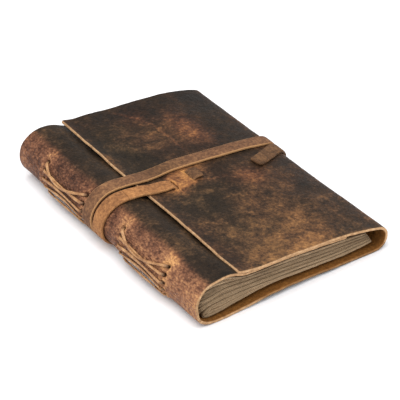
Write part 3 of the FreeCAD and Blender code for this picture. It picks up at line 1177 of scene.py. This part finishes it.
@dataclass
class WrapStrap:
    """The tie strap: its root woven through the flap, and its winding of two turns."""

    thick: float = 1.9
    under_thick: float = 1.0
    lie: float = 0.08
    wide: float = 8.9
    step: float = 0.9
    ring: int = 20
    end_taper: float = 1.2
    # the woven end: x, y and z of its centre, its width and its thickness
    root_path: tuple = (
        (17.2, 0.9, 30.55, 9.4, 1.9),
        (23.0, 0.5, 30.3, 9.4, 1.9),
        (28.8, 0.3, 29.45, 9.4, 1.9),
        (34.0, 0.6, 27.9, 9.4, 1.9),
        (39.0, 1.1, 26.75, 9.4, 1.9),
        (44.0, 0.9, 26.25, 8.8, 1.8),
        (47.2, 0.3, 25.8, 7.6, 1.6),
        (49.3, 0.0, 24.35, 7.0, 1.3),
        (51.6, 0.8, 23.2, 7.6, 1.2),
        (56.0, 2.4, 22.95, 9.0, 1.2),
        (59.6, 2.9, 23.1, 9.8, 1.2),
        (61.6, 3.0, 24.35, 10.0, 1.2),
        (63.8, 3.0, 25.6, 9.8, 1.3),
        (66.5, 3.0, 25.5, 9.4, 1.3),
        (69.5, 2.9, 25.3, 9.0, 1.2),
    )

    def cut_mark(self, strength: np.ndarray) -> np.ndarray:
        """The cut mark: a strength for each place along, on the section's two edges only."""
        on_edge = np.abs(rounded_section(self.ring)[:, 0]) > 0.93
        return (strength[:, None] * on_edge).ravel()

    def root(self) -> Mesh:
        """The woven end: a strip along its own path, flat side out of the flap.

        Returns:
            Its vertices, quads and marks.
        """
        path = cubic_through(np.array(self.root_path), self.step)
        line, wide, thick = path[:, :3], path[:, 3].copy(), path[:, 4]
        flat_t = tangents(line[:, [0, 2]])
        up = np.stack([-flat_t[:, 1], 0 * flat_t[:, 0], flat_t[:, 0]], 1)
        x = line[:, 0]
        wide += 0.35 * line_noise(x, 6.0, 71)
        wide[-1] -= self.end_taper
        points, faces = carried(line, up, wide, thick, rounded_section(self.ring))
        worn = ease((x - 46.0) / 8.0)
        old = 0.7 * ease((x - 50.0) / 8.0)
        marks = {"worn": np.repeat(worn, self.ring), "old": np.repeat(old, self.ring)}
        return points, faces, marks | {"cut": self.cut_mark(0.3 * (1 - old))}

    @staticmethod
    def even(values: np.ndarray) -> np.ndarray:
        """A running mean over 15 samples, weighted by exp(-t^2), that keeps the ends."""
        kernel = np.exp(-(np.linspace(-2, 2, 15) ** 2))
        return np.convolve(np.pad(values, 7, mode="edge"), kernel / kernel.sum(), mode="valid")

    def winding(self) -> Mesh:
        """Two turns round the notebook.

        The line is the girth's point plus its normal times lie + half the thickness; y,
        the thickness and how deep the strap lies under the back follow their landmarks,
        evened by a running mean.

        Returns:
            Its vertices, quads and marks.
        """
        lap = girth_line()
        s_lap = length_of(lap)
        once = s_lap[-1]
        low = lap[:, 1] < 10.0
        on_top = np.arange(len(lap)) > np.argmax(lap[:, 0])

        def at_top(x: float) -> float:
            """Distance along the lap where the flap passes x."""
            return float(np.interp(-x, -lap[on_top, 0], s_lap[on_top]))

        spine = s_lap[np.argmin(lap[:, 0])]
        under_in = s_lap[low & (lap[:, 0] > 18.0)][0]
        under_out = s_lap[low & (lap[:, 0] < 121.0)][-1]
        fold = s_lap[np.argmax(lap[:, 0])]
        tail_end = once + at_top(103)
        # distance along, place along the spine
        y_marks = [
            (0.0, 0.9), (spine, 2.3), (under_in, 2.6), (under_out, 17.4), (fold, 18.4),
            (at_top(117), 15.6), (at_top(93.5), 14.1), (at_top(75), 15.2), (at_top(57), 16.5),
            (at_top(39), 15.1), (at_top(28.8), 12.7), (once + spine, 13.1), (once + under_in, 13.0),
            (once + under_out, 9.8), (once + fold, 9.5), (once + at_top(125), 6.2), (once + at_top(118), 1.8),
            (once + at_top(112), -1.4), (tail_end, -5.4),
        ]
        full, slim, crossed = self.thick, self.under_thick, self.under_thick + self.lie
        # distance along, thickness, distance out past the other run where the two cross
        depths = [
            (0.0, full, 0.0), (spine + 8, full, 0.0), (under_in - 6, slim, 0.0), (under_out + 2, slim, 0.0),
            (fold, full, 0.0), (once + spine + 8, full, 0.0), (once + under_in - 6, slim, crossed),
            (once + under_out + 2, slim, crossed), (once + fold, full, 0.0), (tail_end, full * 0.85, 0.0),
        ]
        s = np.arange(0.0, tail_end, self.step)
        y = self.even(np.interp(s, *zip(*y_marks)))
        at, thicks, drops = zip(*depths)
        thick, drop = self.even(np.interp(s, at, thicks)), self.even(np.interp(s, at, drops))
        normal = outward(lap, Side.LEFT)
        wrap = np.mod(s, once)
        px, pz = (np.interp(wrap, s_lap, lap[:, k]) for k in (0, 1))
        nx, nz = (self.even(np.interp(wrap, s_lap, normal[:, k])) for k in (0, 1))
        flip = -1.0 if nz[0] < 0 else 1.0
        up = flip * np.stack([nx, 0 * nx, nz], 1)
        lie = self.lie + 0.25 * hill(s, s[-1], 9.0)
        line = np.stack([px + fore_edge_skew(px, y), y, pz], 1) + up * (lie + thick / 2 + drop)[:, None]
        wide = self.wide + 0.5 * (1 - ease((s - fold) / 30.0)) + 0.35 * line_noise(s, 7.0, 72)
        wide[-1] -= self.end_taper
        points, faces = carried(line, up, wide, thick, rounded_section(self.ring))
        in_tail = s > once + fold - 8
        worn = np.where(in_tail, 1.0, 0.15 + 0.75 * ease((s - fold + 32) / 26.0))
        fresh_edge = 0.1 + 0.65 * ease((s - fold) / 20.0) * ~in_tail
        tail = 0.95 * ease((s - once - fold + 12.0) / 10.0)
        old = np.maximum(tail, 0.75 * hill(s, at_top(52), 14.0))
        marks = {"worn": np.repeat(worn, self.ring), "old": np.repeat(old, self.ring)}
        return points, faces, marks | {"cut": self.cut_mark(fresh_edge * (1 - tail))}

    def build(self, finish: Material) -> list[bpy.types.Object]:
        """The root on the flap and the winding on its own body.

        Args:
            finish: the strap's material.

        Returns:
            The two objects.
        """
        root = put_mesh("strap_woven_end", *self.root())
        winding = put_mesh("strap_winding_turns", *self.winding())
        for piece, body, node in ((root, "flap", "strap_root"), (winding, "strap", "strap_winding")):
            piece.data.materials.append(finish)
            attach(piece, body)
            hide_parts(node)
        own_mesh(winding)
        return [root, winding]


# ---------------------------------------------------------------- the pages


@dataclass
class PageBlock:
    """Five signatures of folded sheets. Six curves from the fold to the fore-edge part them:
    the top of the first, the gaps, and the bottom of the last."""

    sheets: int = 6
    half_length: float = 86.2
    paper: float = 0.2
    gap: float = 1.1
    noses: tuple = ((7.6, 23.0), (5.0, 18.6), (3.9, 14.1), (4.3, 9.9), (7.6, 5.6))
    edges: tuple = (119.5, 120.5, 121.5, 122.6, 123.6)
    # x and z of the six curves, from the fold to the fore-edge
    levels: tuple = (
        (
            (9, 26.0), (16, 26.6), (24, 25.4), (32, 21.9), (45, 19.9), (63, 19.5), (80, 18.2), (96, 16.7),
            (110, 15.4), (121, 13.8),
        ),
        (
            (6.0, 20.9), (11, 20.9), (17, 21.2), (24, 20.6), (37, 18.9), (54, 17.7), (78, 15.8), (100, 14.0),
            (121, 12.3),
        ),
        (
            (4.2, 16.2), (11.5, 16.3), (18, 17.5), (25, 17.8), (34, 16.9), (54, 15.2), (78, 13.1),
            (100, 11.6), (121, 10.7),
        ),
        (
            (3.8, 12.0), (9, 12.4), (14, 13.4), (21, 14.2), (30, 14.0), (54, 12.6), (78, 10.6), (100, 9.2),
            (121, 9.1),
        ),
        (
            (5.0, 7.6), (9, 8.9), (14, 10.3), (21, 10.9), (33, 10.9), (54, 10.0), (78, 8.2), (100, 6.9),
            (121, 7.3),
        ),
        (
            (9.5, 3.0), (12.4, 3.0), (17, 3.1), (23, 3.8), (32, 5.0), (40, 6.0), (52, 6.9), (67, 6.3),
            (80, 5.3), (98, 4.5), (112, 4.3), (121, 5.4),
        ),
    )

    def level(self, k: int, x: np.ndarray) -> np.ndarray:
        """Height of the kth curve at x, from a smooth spline through its points."""
        line = cubic_through(np.array(self.levels[k], float), 0.5)
        return np.interp(x, line[:, 0], line[:, 1])

    def leaf_line(self, k: int, inset: float, sheet: int) -> np.ndarray:
        """One folded sheet of a signature in the x, z plane: along below, round its fold,
        and back above, drawn in from the signature's outside by inset.

        Args:
            k: the signature's number, from 0.
            inset: distance from the signature's outside, 0 to 1 of half its thickness.
            sheet: the sheet's number in it, which shifts its edges a little.

        Returns:
            The line, evenly spaced.
        """
        rng = np.random.default_rng(100 * k + sheet)
        nose_x, nose_z = self.noses[k]
        ends = self.edges[k] - 1.6 * inset + rng.uniform(-0.7, 0.5, 2)
        start = nose_x + 4.5
        share = np.linspace(0, 1, 15) ** 1.15
        below, above = (start + share * (end - start) for end in ends)
        wave = 0.10 * line_noise(below, 18.0, 200 + k)
        low, high = (
            self.between(k, x, half_way * (1 - inset)) + wave for x, half_way in ((below, -1.0), (above, 1.0))
        )
        tip = nose_x + inset * 3.2
        turn = 1.35 * (1 - inset)
        bulge = [(tip + 1.2, nose_z - turn), (tip, nose_z), (tip + 1.2, nose_z + turn)]
        lower, upper = list(zip(below[::-1], low[::-1])), list(zip(above, high))
        return cubic_through(np.array(lower + bulge + upper), 0.25)

    def between(self, k: int, x: np.ndarray, part: float) -> np.ndarray:
        """Height in a signature: its middle plus part of half its thickness, -1 to 1."""
        top, bottom = self.level(k, x) - self.gap / 2, self.level(k + 1, x) + self.gap / 2
        return (top + bottom) / 2 + (top - bottom) / 2 * part

    def signature(self, k: int) -> Mesh:
        """One signature: its sheets nested, each closed, with torn ends of uneven length.

        Each sheet's faces are its line moved by plus and minus half the paper's thickness
        along its normal. Above the raised underside the block gives way: z gains the lift
        times 1 less the share of the block's height.

        Args:
            k: the signature's number, from 0.

        Returns:
            Its vertices, quads and marks.
        """
        parts = []
        across = np.concatenate([[-1.0, -0.985], np.linspace(-0.94, 0.94, 26), [0.985, 1.0]])
        for sheet in range(self.sheets):
            line = self.leaf_line(k, sheet / self.sheets * 0.96, sheet)
            s = np.linspace(0, length_of(line)[-1], 72)
            at = along(line, s)
            x, z = at[:, :1], at[:, 1:]
            normal = outward(at, Side.RIGHT)
            rng = np.random.default_rng(900 + 10 * k + sheet)
            torn = 0.16 * line_noise(s, 5.0, 300 + 10 * k + sheet)
            y = across * (self.half_length - 0.5 * rng.uniform(0, 1) + torn)[:, None]
            curl = 0.08 * lattice_noise(x, y, 16.0, 400 + k)
            top, bottom = self.level(0, x), self.level(5, x)
            height = np.clip((z - bottom) / (top - bottom), 0, 1)
            need = np.clip(4.6 - bottom, 0, 2.6) / 2.4
            give = (1 - height) * need * under_lift(y)
            grids = []
            for depth in (self.paper * 0.5 + curl, self.paper * -0.5 + curl):
                grids.append(np.stack([x + normal[:, :1] * depth, y, z + normal[:, 1:] * depth + give], -1))
            points, faces = closed_sheet(*grids)
            # random tone per sheet; the two outermost sheets of each signature are painted darker, as painted
            # shade in the gaps between signatures
            shade = rng.uniform(0.15, 1.0) * min(1.0, 0.45 + 0.3 * sheet)
            parts.append((points, faces, {"shade": np.full(len(points), shade)}))
        return joined(parts)

    def build(self, finish: Material) -> list[bpy.types.Object]:
        """The five signatures: the first four each on its own body, the last on the root.

        Args:
            finish: the paper's material.

        Returns:
            The objects.
        """
        made = []
        for k in range(5):
            piece = put_mesh(f"folded_sheets_{k + 1}", *self.signature(k))
            piece.data.materials.append(finish)
            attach(piece, f"signature_{k + 1}" if k < 4 else "root")
            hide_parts(f"signature_{k + 1}")
            made.append(piece)
        return made


# ---------------------------------------------------------------- the sewing


@dataclass
class SpineSewing:
    """Long stitches of lace on the spine, in two groups that gather to their middles."""

    groups: tuple = (("near", -59.5, -16.5), ("far", 21.0, 62.5))
    angles: tuple = (42.0, 20.5, -1.0, -22.5, -44.0)
    gathered: tuple = (14.0, 17.5, 7.0, -8.0, -27.0)
    wide: float = 1.6
    thick: float = 0.95
    rise: float = 0.75
    ring: int = 12

    def lace(self, first: float, last: float, row: int) -> Mesh:
        """One lace between two holes.

        Its angle round the spine goes from the hole's to the gathered one by a sine. Its
        height over the leather rises from inside the hole as 1 - (1 - d)^2 and then stays,
        where d is half the distance from the hole in mm. It rocks from side to side by a sine.

        Args:
            first: place of the first hole along the spine.
            last: place of the last hole.
            row: the row of holes, from the top.

        Returns:
            Its vertices, quads and marks.
        """
        t = np.linspace(0.0, 1.0, 90)
        y = first + (last - first) * t
        skew = t + 0.09 * (1 if row % 2 else -1) * np.sin(np.pi * t)
        dip = np.sin(np.pi * skew) ** 0.9
        angle = self.angles[row] * (1 - dip) + self.gathered[row] * dip
        near = np.minimum(t, 1 - t) * (last - first)
        height = self.rise + 0.55 * dip * (0 if row % 2 else 1.2) - 2.2 * np.clip(1 - near / 2.0, 0, 1) ** 2
        a = np.radians(angle)
        up = np.stack([-np.cos(a), 0 * a, np.sin(a)], 1)
        line = np.array([SPINE_R, 0.0, SPINE_R]) + up * (SPINE_R + height)[:, None]
        line[:, 1] = y
        roll = 0.5 * np.sin(2.6 * np.pi * t + row)[:, None]
        rolled = up * np.cos(roll) + np.cross(tangents(line), up) * np.sin(roll)
        wide = self.wide + 0.2 * line_noise(y, 4.0, 500 + row)
        thick = np.full(len(t), self.thick)
        points, faces = carried(line, rolled, wide, thick, rounded_section(self.ring, 3.0))
        # the mark dark is painted shade, strongest where the lace goes into a hole
        return points, faces, {"dark": np.repeat(np.clip(1 - near / 1.6, 0, 1), self.ring)}

    def build(self, finish: Material) -> list[bpy.types.Object]:
        """The two groups, riding the root.

        Args:
            finish: the lacing's material.

        Returns:
            The objects.
        """
        made = []
        for name, first, last in self.groups:
            laces = [self.lace(first, last, row) for row in range(len(self.angles))]
            piece = put_mesh(f"lacing_{name}", *joined(laces))
            piece.data.materials.append(finish)
            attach(piece, "root")
            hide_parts(f"sewing_{name}")
            made.append(piece)
        return made


# ---------------------------------------------------------------- the studio


@dataclass
class Studio:
    """A white table, an even white surround, two broad lamps and the camera."""

    azimuth: float = -35.123
    elevation: float = 35.284
    distance: float = 1.1355
    aim: tuple = (-0.00141, -0.00337, 0.01056)
    lens: float = 178.8
    surround: float = 0.8
    lamp_power: float = 9.0

    def table(self) -> None:
        """A white sheet under the object."""
        side = np.linspace(-3.0, 3.0, 41)
        gx, gy = np.meshgrid(side, side, indexing="ij")
        sag = -0.0002 - 0.00001 * np.hypot(gx, gy)
        n = np.arange(gx.size).reshape(gx.shape)
        quads = np.stack([n[:-1, :-1], n[1:, :-1], n[1:, 1:], n[:-1, 1:]], -1).reshape(-1, 4)
        mesh = bpy.data.meshes.new("table_sheet")
        mesh.from_pydata(np.stack([gx, gy, sag], -1).reshape(-1, 3), [], quads.tolist())
        sheet = bpy.data.objects.new("table_sheet", mesh)
        bpy.context.scene.collection.objects.link(sheet)
        material = bpy.data.materials.new("matt_white_paper")
        material.use_nodes = True
        shader = material.node_tree.nodes["Principled BSDF"]
        shader.inputs["Base Color"].default_value = (0.93, 0.925, 0.94, 1.0)
        shader.inputs["Roughness"].default_value = 0.95
        mesh.materials.append(material)

    def light(self) -> None:
        """An even surround, a broad lamp above, and a weaker one off the fore-edge's near end."""
        world = bpy.data.worlds.new("surround")
        world.use_nodes = True
        background = world.node_tree.nodes["Background"]
        background.inputs["Color"].default_value = (1.0, 1.0, 1.0, 1.0)
        background.inputs["Strength"].default_value = self.surround
        bpy.context.scene.world = world
        for name, place, size, power in (
            ("lamp_above", (-0.35, -0.1, 0.9), 0.9, self.lamp_power),
            ("lamp_fore_edge", (0.8, -0.7, 0.55), 0.6, self.lamp_power * 0.3),
        ):
            data = bpy.data.lights.new(name, "AREA")
            data.size = size
            data.energy = power
            lamp = bpy.data.objects.new(name, data)
            lamp.location = place
            lamp.rotation_euler = (Vector(place)).to_track_quat("Z", "Y").to_euler()
            bpy.context.scene.collection.objects.link(lamp)

    def camera(self) -> None:
        """A long lens at the view's azimuth and elevation."""
        a, e = math.radians(self.azimuth), math.radians(self.elevation)
        back = Vector((math.sin(a) * math.cos(e), -math.cos(a) * math.cos(e), math.sin(e)))
        data = bpy.data.cameras.new("camera")
        data.lens = self.lens
        data.sensor_width = 36.0
        data.clip_start = 0.05
        eye = bpy.data.objects.new("camera", data)
        eye.location = Vector(self.aim) + back * self.distance
        eye.rotation_euler = back.to_track_quat("Z", "Y").to_euler()
        bpy.context.scene.collection.objects.link(eye)
        bpy.context.scene.camera = eye

    def build(self) -> None:
        """Table, light and camera."""
        self.table()
        self.light()
        self.camera()
        bpy.context.scene.view_settings.view_transform = "Standard"


def main() -> None:
    """Loads the frame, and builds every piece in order."""
    logging.basicConfig(level=logging.INFO, format="%(message)s")
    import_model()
    parts = (
        (CoverHide(), WaxedHide("waxed_pull_up_leather")),
        (WrapStrap(), NappedStrap("napped_split_leather")),
        (PageBlock(), DeckledPaper("cotton_rag_paper")),
        (SpineSewing(), TanLacing("tan_leather_lace")),
    )
    for part, finish in parts:
        for piece in part.build(finish.build()):
            log.info("%s: %d faces", piece.name, len(piece.data.polygons))
    Studio().build()


if __name__ == "__main__":
    main()
